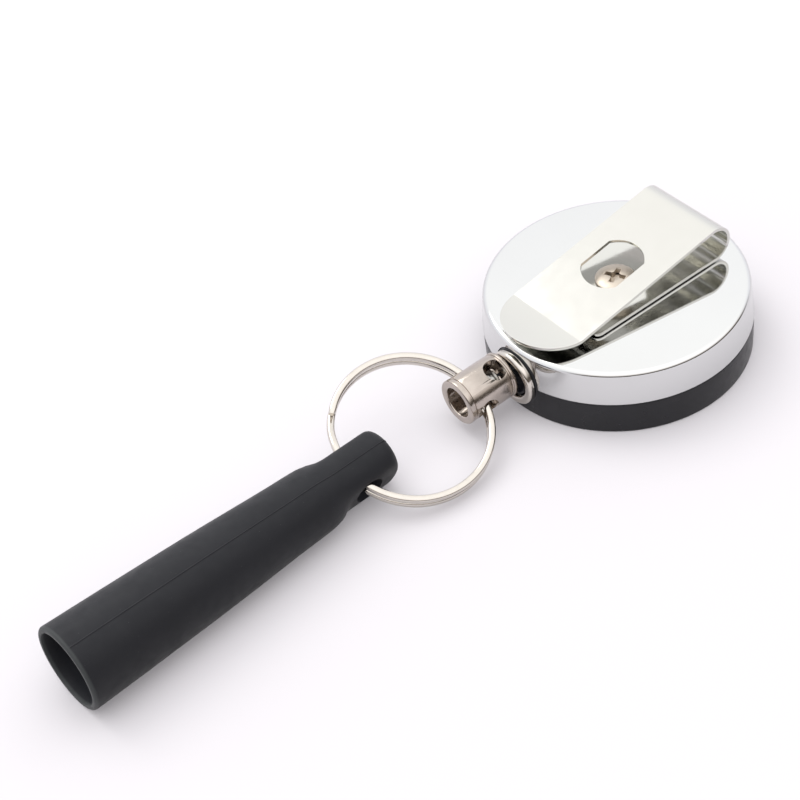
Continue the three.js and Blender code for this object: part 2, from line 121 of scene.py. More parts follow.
SLEEVE_HEADING = (Matrix.Rotation(math.radians(3.36), 3, "Z")
                  @ Matrix.Rotation(math.radians(-1.85), 3, "Y"))  # its own X axis looks out of its mouth

# ---------------------------------------------------------------- camera, floor and light


def make_camera():
    data = bpy.data.cameras.new("camera")
    data.lens = 85.55
    data.sensor_width = 36
    data.clip_start = 0.01
    camera = bpy.data.objects.new("camera", data)
    bpy.context.scene.collection.objects.link(camera)
    place = Vector((0.1384, 0.1608, 0.1949))
    target = Vector((0.03454, -0.00868, 0.005))
    roll = math.radians(-9.57)
    facing = (target - place).to_track_quat("-Z", "Y").to_matrix().to_4x4()
    camera.matrix_world = Matrix.Translation(place) @ facing @ Matrix.Rotation(roll, 4, "Z")
    bpy.context.scene.camera = camera


def area_light(name, place, target, size, watts, colour):
    data = bpy.data.lights.new(name, "AREA")
    data.shape = "DISK"
    data.size = size
    data.energy = watts
    data.color = colour
    light = bpy.data.objects.new(name, data)
    bpy.context.scene.collection.objects.link(light)
    facing = (Vector(target) - Vector(place)).to_track_quat("-Z", "Y").to_matrix().to_4x4()
    light.matrix_world = Matrix.Translation(place) @ facing


def sky_ramp(nodes, links, height, heights):
    """Colours by height above the horizon, from 0 at the horizon to 1 overhead."""
    sky = nodes.new("ShaderNodeValToRGB")
    links.new(height, sky.inputs[0])
    ramp = sky.color_ramp
    while len(ramp.elements) < len(heights):
        ramp.elements.new(0.5)
    for element, (position, colour) in zip(ramp.elements, heights):
        element.position = position
        element.color = (*colour, 1)
    return sky.outputs["Color"]


def studio_world():
    """White all round and overhead, with a dim room low down in front, which metal picks up."""
    world = bpy.data.worlds.new("studio")
    bpy.context.scene.world = world
    world.use_nodes = True
    nodes, links = world.node_tree.nodes, world.node_tree.links
    direction = nodes.new("ShaderNodeTexCoord").outputs["Generated"]
    split = nodes.new("ShaderNodeSeparateXYZ")
    links.new(direction, split.inputs[0])
    behind = sky_ramp(nodes, links, split.outputs["Z"], [
        (0.0, (0.62, 0.62, 0.65)),
        (0.45, (0.74, 0.74, 0.76)),
        (0.69, (0.845, 0.845, 0.84)),
        (0.80, (0.87, 0.86, 0.85)),
        (1.0, (1.0, 1.0, 1.0)),
    ])
    in_front = sky_ramp(nodes, links, split.outputs["Z"], [
        (0.0, (0.08, 0.07, 0.062)),
        (0.26, (0.10, 0.088, 0.078)),
        (0.42, (0.52, 0.49, 0.47)),
        (0.62, (0.90, 0.88, 0.87)),
        (1.0, (1.0, 1.0, 1.0)),
    ])
    front = nodes.new("ShaderNodeMapRange")
    front.inputs["From Min"].default_value = 0.0
    front.inputs["From Max"].default_value = 0.4
    links.new(split.outputs["Y"], front.inputs["Value"])
    room = nodes.new("ShaderNodeMix")
    room.data_type = "RGBA"
    links.new(front.outputs["Result"], room.inputs["Factor"])
    links.new(behind, room.inputs["A"])
    links.new(in_front, room.inputs["B"])
    background = nodes["Background"]
    links.new(room.outputs["Result"], background.inputs["Color"])
    background.inputs["Strength"].default_value = 1.7


def make_floor():
    half = 2.0
    mesh = bpy.data.meshes.new("floor")
    corners = [(-half, -half, 0), (half, -half, 0), (half, half, 0), (-half, half, 0)]
    mesh.from_pydata(corners, [], [(0, 1, 2, 3)])
    floor = bpy.data.objects.new("floor", mesh)
    floor.location.z = cad_box[0][2]
    bpy.context.scene.collection.objects.link(floor)
    material = bpy.data.materials.new("floor")
    material.use_nodes = True
    shader = material.node_tree.nodes["Principled BSDF"]
    shader.inputs["Base Color"].default_value = (0.50, 0.485, 0.505, 1)
    shader.inputs["Roughness"].default_value = 0.9
    shader.inputs["Specular IOR Level"].default_value = 0.1
    mesh.materials.append(material)


def fill_light():
    """Light from above without shadows, which keeps the shadows on the floor pale."""
    data = bpy.data.lights.new("fill", "SUN")
    data.energy = 1.7
    data.angle = math.radians(60)
    data.color = (0.98, 0.985, 1.0)
    data.use_shadow = False
    light = bpy.data.objects.new("fill", data)
    light.visible_glossy = False
    bpy.context.scene.collection.objects.link(light)


bpy.context.scene.view_settings.view_transform = "Standard"
make_camera()
make_floor()
studio_world()
area_light("key", (0.12, -0.75, 0.95), (0.03, 0, 0), 0.7, 3.5, (1.0, 0.985, 0.96))
fill_light()
bpy.context.scene.cycles.glossy_bounces = 12  # light runs many times between the clip's leaves

# ---------------------------------------------------------------- materials


class Finish:
    """A Principled material whose textures are laid out in millimetres of the object's own space."""

    def __init__(self, name, **constants):
        self.material = bpy.data.materials.new(name)
        self.material.use_nodes = True
        self.tree = self.material.node_tree
        self.shader = self.tree.nodes["Principled BSDF"]
        self.place = self.tree.nodes.new("ShaderNodeTexCoord").outputs["Object"]
        for socket, value in constants.items():
            self.shader.inputs[socket.replace("_", " ")].default_value = value

    def node(self, kind, **links):
        made = self.tree.nodes.new(kind)
        for socket, source in links.items():
            self.tree.links.new(source, made.inputs[socket])
        return made

    def mapped(self, stretch=(1, 1, 1), turn=(0, 0, 0)):
        mapping = self.node("ShaderNodeMapping", Vector=self.place)
        mapping.inputs["Scale"].default_value = [axis / MM for axis in stretch]
        mapping.inputs["Rotation"].default_value = [math.radians(angle) for angle in turn]
        return mapping.outputs["Vector"]

    def noise(self, per_mm, detail=3.0, stretch=(1, 1, 1), turn=(0, 0, 0)):
        texture = self.node("ShaderNodeTexNoise", Vector=self.mapped(stretch, turn))
        texture.inputs["Scale"].default_value = per_mm
        texture.inputs["Detail"].default_value = detail
        return texture.outputs["Fac"]

    def cells(self, per_mm):
        texture = self.node("ShaderNodeTexVoronoi", Vector=self.mapped())
        texture.inputs["Scale"].default_value = per_mm
        return texture.outputs["Distance"]

    def bands(self, per_mm, axis="X", stretch=(1, 1, 1), rings=False, distortion=0.0):
        texture = self.node("ShaderNodeTexWave", Vector=self.mapped(stretch))
        texture.wave_type = "RINGS" if rings else "BANDS"
        setattr(texture, "rings_direction" if rings else "bands_direction", axis)
        texture.inputs["Scale"].default_value = per_mm
        texture.inputs["Distortion"].default_value = distortion
        return texture.outputs["Fac"]

    def ranged(self, value, start, end, to_low=0.0, to_high=1.0):
        spread = self.node("ShaderNodeMapRange", Value=value)
        spread.inputs["From Min"].default_value = start
        spread.inputs["From Max"].default_value = end
        spread.inputs["To Min"].default_value = to_low
        spread.inputs["To Max"].default_value = to_high
        return spread.outputs["Result"]

    def maths(self, operation, first, second):
        made = self.node("ShaderNodeMath")
        made.operation = operation
        for index, value in enumerate((first, second)):
            if isinstance(value, (int, float)):
                made.inputs[index].default_value = value
            else:
                self.tree.links.new(value, made.inputs[index])
        return made.outputs[0]

    def colour(self, amount, dark, light):
        mix = self.node("ShaderNodeMix", Factor=amount)
        mix.data_type = "RGBA"
        mix.inputs["A"].default_value = (*dark, 1)
        mix.inputs["B"].default_value = (*light, 1)
        self.tree.links.new(mix.outputs["Result"], self.shader.inputs["Base Color"])
        return self

    def over(self, amount, colour):
        """Lays another colour over the one already there."""
        below = self.shader.inputs["Base Color"].links[0].from_socket
        mix = self.node("ShaderNodeMix", Factor=amount)
        mix.data_type = "RGBA"
        self.tree.links.new(below, mix.inputs["A"])
        mix.inputs["B"].default_value = (*colour, 1)
        self.tree.links.new(mix.outputs["Result"], self.shader.inputs["Base Color"])
        return self

    def rough(self, amount, least, most):
        value = self.ranged(amount, 0.3, 0.7, least, most)
        self.tree.links.new(value, self.shader.inputs["Roughness"])
        return self

    def bump(self, height, depth_mm):
        """Adds a bump under the ones already there."""
        bump = self.node("ShaderNodeBump", Height=height)
        bump.inputs["Strength"].default_value = 1.0
        bump.inputs["Distance"].default_value = depth_mm * MM
        before = self.shader.inputs["Normal"].links
        if before:
            self.tree.links.new(before[0].from_socket, bump.inputs["Normal"])
        self.tree.links.new(bump.outputs["Normal"], self.shader.inputs["Normal"])
        return self

    def scratches(self, per_mm, turn, depth_mm, width=0.02):
        """Fine straight hairlines, as handling leaves them."""
        lines = self.noise(per_mm, 2.0, (1, 0.03, 1), turn)
        centre = 0.5
        above = self.ranged(lines, centre - width, centre, 0.0, 1.0)
        below = self.ranged(lines, centre, centre + width, 1.0, 0.0)
        return self.bump(self.maths("MULTIPLY", above, below), -depth_mm)


def chrome(name, tint, least=0.035, most=0.075):
    finish = Finish(name, Metallic=1.0)
    cloud = finish.noise(0.12, 4.0)
    finish.colour(cloud, [0.96 * value for value in tint], tint)
    finish.rough(finish.noise(0.5, 5.0), least, most)
    finish.bump(finish.noise(0.1, 1.0), 0.0008)
    return finish.material


def nickel(name, tint):
    finish = Finish(name, Metallic=1.0)
    finish.colour(finish.noise(0.7, 5.0), [0.86 * value for value in tint], tint)
    finish.rough(finish.noise(1.6, 5.0), 0.06, 0.14)
    finish.bump(finish.noise(0.9, 2.0), 0.006)
    finish.scratches(3.0, (0, 0, 70), 0.001)
    return finish.material


def fitting_nickel():
    """Nickel over turned brass, with faint tool rings round its length and small dents."""
    finish = Finish("fitting_nickel", Metallic=1.0)
    tint = (0.56, 0.50, 0.45)
    finish.colour(finish.noise(0.5, 6.0, (0.6, 1, 1)), [0.6 * value for value in tint], tint)
    finish.rough(finish.noise(1.2, 5.0), 0.07, 0.18)
    finish.bump(finish.bands(5.0, "X", distortion=0.6), 0.0012)
    finish.bump(finish.noise(0.45, 3.0), 0.02)
    finish.scratches(2.2, (0, 0, 20), 0.002)
    return finish.material


def black_plastic():
    finish = Finish("black_plastic", Specular_IOR_Level=0.32)
    finish.colour(finish.noise(0.3, 4.0), (0.006, 0.006, 0.0075), (0.012, 0.012, 0.015))
    finish.rough(finish.noise(0.8, 5.0), 0.26, 0.40)
    finish.bump(finish.noise(6.0, 3.0), 0.003)
    finish.scratches(1.1, (0, 90, 10), 0.0015)
    return finish.material


def rubber():
    """Matt moulded rubber: a fine eggshell, specks of dust and a painted highlight on the lip."""
    finish = Finish("rubber", Specular_IOR_Level=0.24, Sheen_Weight=0.04, Sheen_Roughness=0.5)
    cloud = finish.noise(0.10, 5.0, (0.5, 1, 1))
    specks = finish.ranged(finish.cells(1.1), 0.05, 0.03)
    dark, light, dust = (0.0050, 0.0054, 0.0072), (0.0095, 0.0100, 0.0130), (0.07, 0.075, 0.07)
    finish.colour(cloud, dark, light)
    finish.over(finish.maths("MULTIPLY", specks, 0.6), dust)
    back_to_axis = [math.degrees(angle) for angle in SLEEVE_HEADING.transposed().to_euler()]
    along = finish.node("ShaderNodeSeparateXYZ", Vector=finish.mapped((1, 1, 1), back_to_axis)).outputs["X"]
    mouth = (SLEEVE_HEADING.transposed() @ SLEEVE_MOUTH).x
    # painted highlight: the lip is painted paler, standing in for light on its rounded edge
    finish.over(finish.ranged(along, mouth - 0.6, mouth - 0.3), (0.030, 0.033, 0.034))
    finish.rough(finish.noise(0.6, 5.0), 0.48, 0.62)
    finish.bump(finish.noise(7.0, 3.0), 0.008)
    finish.bump(finish.noise(0.35, 2.0), 0.03)
    return finish.material


def screw_nickel():
    finish = Finish("screw_nickel", Metallic=1.0)
    finish.colour(finish.noise(1.5, 4.0), (0.46, 0.40, 0.33), (0.60, 0.54, 0.47))
    finish.rough(finish.noise(2.0, 4.0), 0.34, 0.46)
    finish.bump(finish.bands(3.0, "Z", rings=True), 0.002)
    return finish.material


def brushed_disc():
    finish = Finish("brushed_disc", Metallic=0.85)
    finish.colour(finish.noise(0.4, 5.0), (0.36, 0.37, 0.38), (0.50, 0.51, 0.52))
    finish.rough(finish.noise(1.5, 4.0), 0.28, 0.42)
    finish.bump(finish.bands(6.0, "Z", rings=True, distortion=0.4), 0.002)
    return finish.material


def turned_steel():
    finish = Finish("turned_steel", Metallic=1.0)
    finish.colour(finish.noise(0.8, 4.0), (0.42, 0.42, 0.41), (0.60, 0.60, 0.58))
    finish.rough(finish.noise(2.0, 4.0), 0.22, 0.38)
    finish.bump(finish.bands(4.0, "Z"), 0.002)
    return finish.material


def blued_spring():
    finish = Finish("blued_spring", Metallic=1.0)
    finish.colour(finish.noise(0.25, 3.0, (1, 1, 0.3)), (0.16, 0.19, 0.27), (0.42, 0.42, 0.44))
    finish.rough(finish.noise(1.5, 4.0), 0.2, 0.36)
    finish.bump(finish.noise(4.0, 3.0, (0.2, 0.2, 1)), 0.002)
    return finish.material


def acetal():
    finish = Finish("acetal", IOR=1.48, Subsurface_Weight=0.1, Subsurface_Radius=(0.001, 0.0009, 0.0008))
    finish.colour(finish.noise(0.3, 4.0), (0.74, 0.72, 0.66), (0.83, 0.81, 0.76))
    finish.rough(finish.noise(1.0, 4.0), 0.36, 0.5)
    finish.bump(finish.noise(4.0, 3.0), 0.003)
    return finish.material


def cord_nylon():
    """Braided nylon: two families of fine slanting strands."""
    finish = Finish("cord_nylon", IOR=1.5, Sheen_Weight=0.3, Sheen_Roughness=0.4)
    finish.colour(finish.noise(3.0, 3.0), (0.012, 0.012, 0.014), (0.035, 0.035, 0.04))
    finish.rough(finish.noise(3.0, 3.0), 0.5, 0.7)
    finish.bump(finish.bands(1.6, "DIAGONAL"), 0.03)
    finish.bump(finish.bands(1.6, "DIAGONAL", (-1, 1, 1)), 0.03)
    return finish.material


MATERIALS = {
    "cover_chrome": chrome("cover_chrome", (0.66, 0.665, 0.665)),
    "clip_chrome": chrome("clip_chrome", (0.625, 0.62, 0.59), 0.11, 0.15),
    "black_plastic": black_plastic(),
    "face_disc": brushed_disc(),
    "nickel": nickel("nickel", (0.66, 0.62, 0.57)),
    "fitting": fitting_nickel(),
    "screw": screw_nickel(),
    "steel": turned_steel(),
    "spring_steel": blued_spring(),
    "acetal": acetal(),
    "cord": cord_nylon(),
    "rubber": rubber(),
}

# ---------------------------------------------------------------- mesh helpers


def new_object(name, verts, faces, slot, material=None):
    """An object from millimetre points, smooth except at its sharp edges."""
    mesh = bpy.data.meshes.new(name)
    mesh.from_pydata([Vector(point) * MM for point in verts], [], faces)
    made = bpy.data.objects.new(name, mesh)
    bpy.context.scene.collection.objects.link(made)
    tidy(made)
    mesh.materials.append(MATERIALS[material or slot])
    return made


def tidy(piece, sharp=32):
    """Joins doubled points, turns the faces outward and shades them."""
    work = bmesh.new()
    work.from_mesh(piece.data)
    bmesh.ops.remove_doubles(work, verts=work.verts, dist=1e-7)
    bmesh.ops.dissolve_degenerate(work, edges=work.edges, dist=1e-7)
    bmesh.ops.recalc_face_normals(work, faces=work.faces)
    work.to_mesh(piece.data)
    work.free()
    piece.data.shade_smooth()
    piece.data.set_sharp_from_angle(angle=math.radians(sharp))


def settle(piece):
    """Turns the piece's modifiers into mesh."""
    graph = bpy.context.evaluated_depsgraph_get()
    mesh = bpy.data.meshes.new_from_object(piece.evaluated_get(graph))
    piece.modifiers.clear()
    old = piece.data
    piece.data = mesh
    mesh.name = piece.name
    bpy.data.meshes.remove(old)


def combine(piece, tools, operation="DIFFERENCE"):
    """Cuts the tools out of the piece, or adds them to it, and removes them."""
    for tool in tools:
        modifier = piece.modifiers.new("cut", "BOOLEAN")
        modifier.operation = operation
        modifier.solver = "EXACT"
        modifier.object = tool
        settle(piece)
        bpy.data.objects.remove(tool)
    tidy(piece)
    return piece


def soften(piece, width, segments=2, angle=40):
    """Rounds the piece's sharp edges, by a width in millimetres."""
    modifier = piece.modifiers.new("edges", "BEVEL")
    modifier.width = width * MM
    modifier.segments = segments
    modifier.limit_method = "ANGLE"
    modifier.angle_limit = math.radians(angle)
    modifier.use_clamp_overlap = True
    modifier.miter_outer = "MITER_ARC"
    settle(piece)
    tidy(piece, 50)
    return piece


def arc(u, v, radius, start, end, steps=6):
    """Points of an arc in an outline, between two angles in degrees."""
    angles = [math.radians(start + (end - start) * i / steps) for i in range(steps + 1)]
    return [(u + radius * math.cos(angle), v + radius * math.sin(angle)) for angle in angles]


def lathe(name, outline, slot, steps=96, along="Z", centre=(0, 0, 0), material=None):
    """Turns a closed outline of (radius, height) points about Z, or about X with along="X"."""
    verts, faces = [], []
    count = len(outline)
    for i in range(steps):
        angle = FULL_TURN * i / steps
        for radius, height in outline:
            if along == "Z":
                point = (radius * math.cos(angle), radius * math.sin(angle), height)
            else:
                point = (height, radius * math.cos(angle), radius * math.sin(angle))
            verts.append(Vector(point) + Vector(centre))
        following = (i + 1) % steps
        for k in range(count):
            after = (k + 1) % count
            faces.append((i * count + k, i * count + after, following * count + after, following * count + k))
    return new_object(name, verts, faces, slot, material)


def tube(name, points, slot, section):
    """Sweeps a section of (side, up) points along a line, without twist."""
    points = [Vector(point) for point in points]
    verts, faces = [], []
    count = len(section)
    up = Vector((0, 0, 1))
    for i, point in enumerate(points):
        before = points[max(i - 1, 0)]
        after = points[min(i + 1, len(points) - 1)]
        tangent = (after - before).normalized()
        side = up.cross(tangent).normalized()
        top = tangent.cross(side)
        verts.extend(point + side * u + top * v for u, v in section)
        if i:
            for k in range(count):
                near, far = (i - 1) * count, i * count
                after_k = (k + 1) % count
                faces.append((near + k, near + after_k, far + after_k, far + k))
    faces.append(tuple(reversed(range(count))))
    faces.append(tuple(range((len(points) - 1) * count, len(points) * count)))
    return new_object(name, verts, faces, slot)


def circle(radius, sides=16):
    return arc(0, 0, radius, 0, 360 - 360 / sides, sides - 1)


def rod(start, end, radius, steps=64):
    """A plain cutter between two points."""
    start, end = Vector(start), Vector(end)
    turn = Vector((0, 0, 1)).rotation_difference(end - start)
    length = (end - start).length
    rings = [[turn @ Vector((u, v, h)) + start for u, v in circle(radius, steps)] for h in (0, length)]
    faces = [(k, (k + 1) % steps, steps + (k + 1) % steps, steps + k) for k in range(steps)]
    faces += [tuple(reversed(range(steps))), tuple(range(steps, 2 * steps))]
    return new_object("cutter", rings[0] + rings[1], faces, "steel")


def rolled(side, up):
    """A direction across the cord, in the roll of the fitting and the ring."""
    across = side * math.cos(ROLL) - up * math.sin(ROLL)
    upward = side * math.sin(ROLL) + up * math.cos(ROLL)
    return Vector((0, across, upward))


# ---------------------------------------------------------------- case


def cover():
    """The chrome cup, which narrows a little towards its top and has a raised seat for the clip."""
    wall, edge, lip, hole = 0.65, 0.8, 0.22, 1.5
    top_radius = CASE_RADIUS - 0.45
    corner = 0.4
    inner = top_radius - wall - corner
    seat = 3.6
    outline = [
        (hole, CASE_TOP - wall),
        *arc(inner, CASE_TOP - wall - corner, corner, 90, 0, 4),
        (CASE_RADIUS - wall, SPLIT),
        *arc(CASE_RADIUS - lip, SPLIT + lip, lip, -90, 0, 5),
        *arc(top_radius - edge, CASE_TOP - edge, edge, 0, 90, 14),
        (seat + SEAT_HEIGHT, CASE_TOP),
        (seat, SEAT_TOP),
        (hole, SEAT_TOP),
    ]
    piece = lathe("cover", outline, "cover_chrome", 240)
    notch_start = 18.05
    notch = EYELET_RADIUS + 0.27
    combine(piece, [rod((notch_start, 0, CORD_HEIGHT), (OUTSIDE, 0, CORD_HEIGHT), notch)])
    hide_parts("back_cover")
    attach(piece, "reel")


def housing():
    """The black half with the boss that carries the eyelet and the wall inside the cover."""
    spigot, spigot_inner, spigot_top = 18.7, 17.8, 9.9
    floor, fillet = 1.3, 0.4
    gap = 0.05
    disc_room = high("face_disc").x + 0.1
    pocket = high("face_disc").z + gap
    edge, draft, upper_edge, chamfer = 0.35, 0.1, 0.2, 0.3
    outline = [
        (disc_room, 0.0),
        *arc(HOUSING_RADIUS - edge - draft, edge, edge, -90, 0, 6),
        (HOUSING_RADIUS, SPLIT - gap - upper_edge),
        *arc(HOUSING_RADIUS - upper_edge, SPLIT - gap - upper_edge, upper_edge, 0, 90, 4),
        (spigot, SPLIT - gap),
        (spigot, spigot_top - chamfer),
        (spigot - chamfer, spigot_top),
        (spigot_inner, spigot_top),
        (spigot_inner, floor + fillet),
        (spigot_inner - fillet, floor),
        (0, floor),
        (0, pocket),
        (disc_room, pocket),
    ]
    piece = lathe("housing", outline, "black_plastic", 240)
    boss_start, boss_end = 14, EYELET_SEAT - gap
    boss_radius, boss_edge = EYELET_RADIUS + 0.12, 0.2
    boss_outline = [
        (boss_radius, boss_start),
        *arc(boss_radius - boss_edge, boss_end - boss_edge, boss_edge, 0, 90, 4),
        (0, boss_end),
        (0, boss_start),
    ]
    centre = Vector((0, 0, CORD_HEIGHT))
    outside = centre + Vector((OUTSIDE, 0, 0))
    boss = lathe("boss", boss_outline, "black_plastic", 96, "X", centre)
    combine(boss, [rod((0, 0, floor), (0, 0, CASE_TOP), spigot_inner, 160)])
    combine(piece, [boss], "UNION")
    barrel_room = 3.35
    way_out = rod(centre + Vector((boss_start, 0, 0)), outside, barrel_room)
    lip_room = rod(centre + Vector((boss_end, 0, 0)), outside, boss_radius)
    combine(piece, [way_out, lip_room])
    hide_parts("front_housing")
    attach(piece, "reel")


def disc():
    radius, top = high("face_disc").x, high("face_disc").z
    edge = 0.12
    outline = [
        (0, 0),
        *arc(radius - edge, edge, edge, -90, 0, 4),
        (radius, top),
        (0, top),
    ]
    piece = lathe("disc", outline, "face_disc", 160)
    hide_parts("face_disc")
    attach(piece, "reel")


def eyelet():
    """A rolled lip over the edge of the way out."""
    barrel, inner = 3.3, 2.75
    chamfer, under_lip, roll, throat = 0.25, 0.2, 0.45, 0.85
    outline = [
        (inner, EYELET_BACK),
        (barrel - chamfer, EYELET_BACK),
        (barrel, EYELET_BACK + chamfer),
        (barrel, EYELET_SEAT),
        *arc(EYELET_RADIUS - under_lip, EYELET_SEAT + under_lip, under_lip, -90, 0, 4),
        *arc(EYELET_RADIUS - roll, EYELET_FRONT - roll, roll, 0, 90, 8),
        *arc(inner + throat, EYELET_FRONT - throat, throat, 90, 180, 10),
    ]
    piece = lathe("eyelet", outline, "nickel", 128, "X", (0, 0, CORD_HEIGHT))
    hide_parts("exit_eyelet")
    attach(piece, "reel")


def guide():
    """The black liner inside the eyelet, with a rounded mouth and a chamfer at its back."""
    bore, mouth, chamfer = 2.25, 0.3, 0.35
    outer = high("exit_liner").y
    back, front = low("exit_liner").x, high("exit_liner").x
    outline = [
        (bore + chamfer, back),
        (outer, back),
        (outer, front),
        *arc(bore + mouth, front - mouth, mouth, 90, 180, 6),
        (bore, back + chamfer),
    ]
    piece = lathe("guide", outline, "black_plastic", 96, "X", (0, 0, CORD_HEIGHT))
    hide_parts("exit_liner")
    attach(piece, "reel")


# ---------------------------------------------------------------- belt clip

CLIP_THICK = 0.5
CLIP_EDGE = 0.09  # rounding of the strip's edges
CLIP_HALF_WIDTH = high("clip_leaf").y
CLIP_BOTTOM = low("clip_base").z
CLIP_NOSE_X = high("clip_leaf").x
CLIP_END_X = high("clip_base").x
BEND_RADIUS = (high("clip_leaf").z - CLIP_BOTTOM) / 2  # outside of the bend
BEND_X = low("clip_leaf").x + BEND_RADIUS
BEND_Z = CLIP_BOTTOM + BEND_RADIUS
LEAF_SLOPE = math.radians(-9.7)
RIDGE_X = 13.2
NOSE_RISE = 0.5
NOSE_CURVE = 1.6  # how late the nose turns up
FLAT_LENGTH = CLIP_END_X - BEND_X
BEND_MIDDLE = BEND_RADIUS - CLIP_THICK / 2
BEND_ANGLE = math.pi - LEAF_SLOPE
BEND_LENGTH = BEND_MIDDLE * BEND_ANGLE


def strip_point(s, y, depth):
    """A point of the bent strip: s runs from the base's free end, depth goes in from the outer face."""
    if s <= FLAT_LENGTH:
        return Vector((CLIP_END_X - s, y, CLIP_BOTTOM + depth))
    radius = BEND_RADIUS - depth
    angle = min((s - FLAT_LENGTH) / BEND_MIDDLE, BEND_ANGLE)
    place = Vector((BEND_X - radius * math.sin(angle), y, BEND_Z - radius * math.cos(angle)))
    beyond = s - FLAT_LENGTH - BEND_LENGTH
    if beyond > 0:
        place += Vector((math.cos(LEAF_SLOPE), 0, math.sin(LEAF_SLOPE))) * beyond
        if place.x > RIDGE_X:
            share = (place.x - RIDGE_X) / (CLIP_NOSE_X - RIDGE_X)
            place.z += (place.x - RIDGE_X) * -math.tan(LEAF_SLOPE) + NOSE_RISE * share ** NOSE_CURVE
    return place


def leaf_s(x):
    """The strip length at which the leaf's outer face reaches an x."""
    start = BEND_X - BEND_RADIUS * math.sin(BEND_ANGLE)
    return FLAT_LENGTH + BEND_LENGTH + (x - start) / math.cos(LEAF_SLOPE)


def flat_strip(outline, holes, cuts):
    """A flat plate with the outline and holes, in strip length and y, sliced at each cut."""
    work = bmesh.new()
    rings = [[Vector((u, v, 0)) for u, v in ring] for ring in [outline, *holes]]
    verts = [work.verts.new(point) for ring in rings for point in ring]
    for corners in tessellate_polygon(rings):
        work.faces.new([verts[i] for i in corners])
    for s in cuts:
        everything = [*work.verts, *work.edges, *work.faces]
        bmesh.ops.bisect_plane(work, geom=everything, dist=1e-5, plane_co=(s, 0, 0), plane_no=(1, 0, 0))
    return work


def clip_piece(name, outline, holes, cuts, open_end, body):
    """Thickens a flat plate, rounds its edges except along the open end, and bends it to shape."""
    work = flat_strip(outline, holes, cuts)
    bmesh.ops.recalc_face_normals(work, faces=work.faces)
    bottom = list(work.faces)
    made = bmesh.ops.extrude_face_region(work, geom=bottom)
    for vert in (v for v in made["geom"] if isinstance(v, bmesh.types.BMVert)):
        vert.co.z += CLIP_THICK
    bmesh.ops.recalc_face_normals(work, faces=work.faces)
    rim = []
    for edge in work.edges:
        at_end = all(abs(vert.co.x - open_end) < 1e-4 for vert in edge.verts)
        if not at_end and edge.calc_face_angle(0) > math.radians(60):
            rim.append(edge)
    bmesh.ops.bevel(work, geom=rim, offset=CLIP_EDGE, segments=3, profile=0.5, affect="EDGES",
                    clamp_overlap=True)
    for vert in work.verts:
        vert.co = strip_point(*vert.co) * MM
    mesh = bpy.data.meshes.new(name)
    work.to_mesh(mesh)
    work.free()
    piece = bpy.data.objects.new(name, mesh)
    bpy.context.scene.collection.objects.link(piece)
    tidy(piece, 40)
    flatten = piece.modifiers.new("flatten", "WEIGHTED_NORMAL")
    flatten.keep_sharp = True
    settle(piece)
    piece.data.materials.append(MATERIALS["clip_chrome"])
    if body:
        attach(piece, body)
    return piece


def clip():
    """One bent strip: a foot that stays on the case, and the bend and leaf."""
    split = FLAT_LENGTH - 2.0
    corner, screw_hole = 1.2, 1.5
    half = CLIP_HALF_WIDTH
    foot_outline = [
        (split, -half),
        (split, half),
        *arc(corner, half - corner, corner, 90, 180, 5),
        *arc(corner, corner - half, corner, 180, 270, 5),
    ]
    hole = arc(CLIP_END_X, 0, screw_hole, 0, 350, 35)
    foot = clip_piece("clip_foot", foot_outline, [hole], [], split, "reel")
    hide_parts("clip_base")

    bend_steps, nose_steps = 48, 24
    bend_cuts = [FLAT_LENGTH + BEND_LENGTH * i / bend_steps for i in range(bend_steps + 1)]
    nose_length = CLIP_NOSE_X - RIDGE_X
    nose_cuts = [leaf_s(RIDGE_X + nose_length * i / nose_steps) for i in range(nose_steps)]
    nose = [(leaf_s(x), y) for x, y in arc(CLIP_NOSE_X - half, 0, half, -90, 90, 48)]
    leaf_outline = [(split, half), (split, -half), *nose]
    window_radius, window_half, window_x = 4.65, 3.7, 0.4
    reach = math.degrees(math.asin(window_half / window_radius))
    window = [*arc(window_x, 0, window_radius, -reach, reach, 16),
              *arc(window_x, 0, window_radius, 180 - reach, 180 + reach, 16)]
    opening = [(leaf_s(x), y) for x, y in window]
    leaf = clip_piece("clip_leaf_strip", leaf_outline, [opening], bend_cuts + nose_cuts, split, None)
    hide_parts("clip_leaf")
    normal = Vector((-math.sin(LEAF_SLOPE), 0, math.cos(LEAF_SLOPE)))
    leaf_level = strip_point(FLAT_LENGTH + BEND_LENGTH, 0, CLIP_THICK).dot(normal)
    foot_level = strip_point(split, 0, CLIP_THICK).dot(normal)
    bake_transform(leaf)


def screw():
    """A low domed head with a cross recess, whose shank goes down into the arbor."""
    seat = CLIP_BOTTOM + CLIP_THICK + 0.05
    top = high("clip_screw").z
    radius, shank = high("clip_screw").x, 1.2
    tip = low("clip_screw").z
    rim, tip_taper = 0.14, 0.5
    outline = [
        (0, tip),
        (shank - 0.4, tip),
        (shank, tip + tip_taper),
        (shank, seat),
        (radius - 0.1, seat),
        *arc(radius - rim, seat + 0.2, rim, -60, 60, 4),
        (radius - 0.6, seat + 0.5),
        (radius - 1.1, seat + 0.64),
        (radius - 1.7, seat + 0.7),
        (0, seat + 0.72),
    ]
    piece = lathe("screw", outline, "screw", 96)
    cross_recess(piece, seat - 0.2, top)
    soften(piece, 0.06, 2, 35)
    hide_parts("clip_screw")
    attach(piece, "reel")


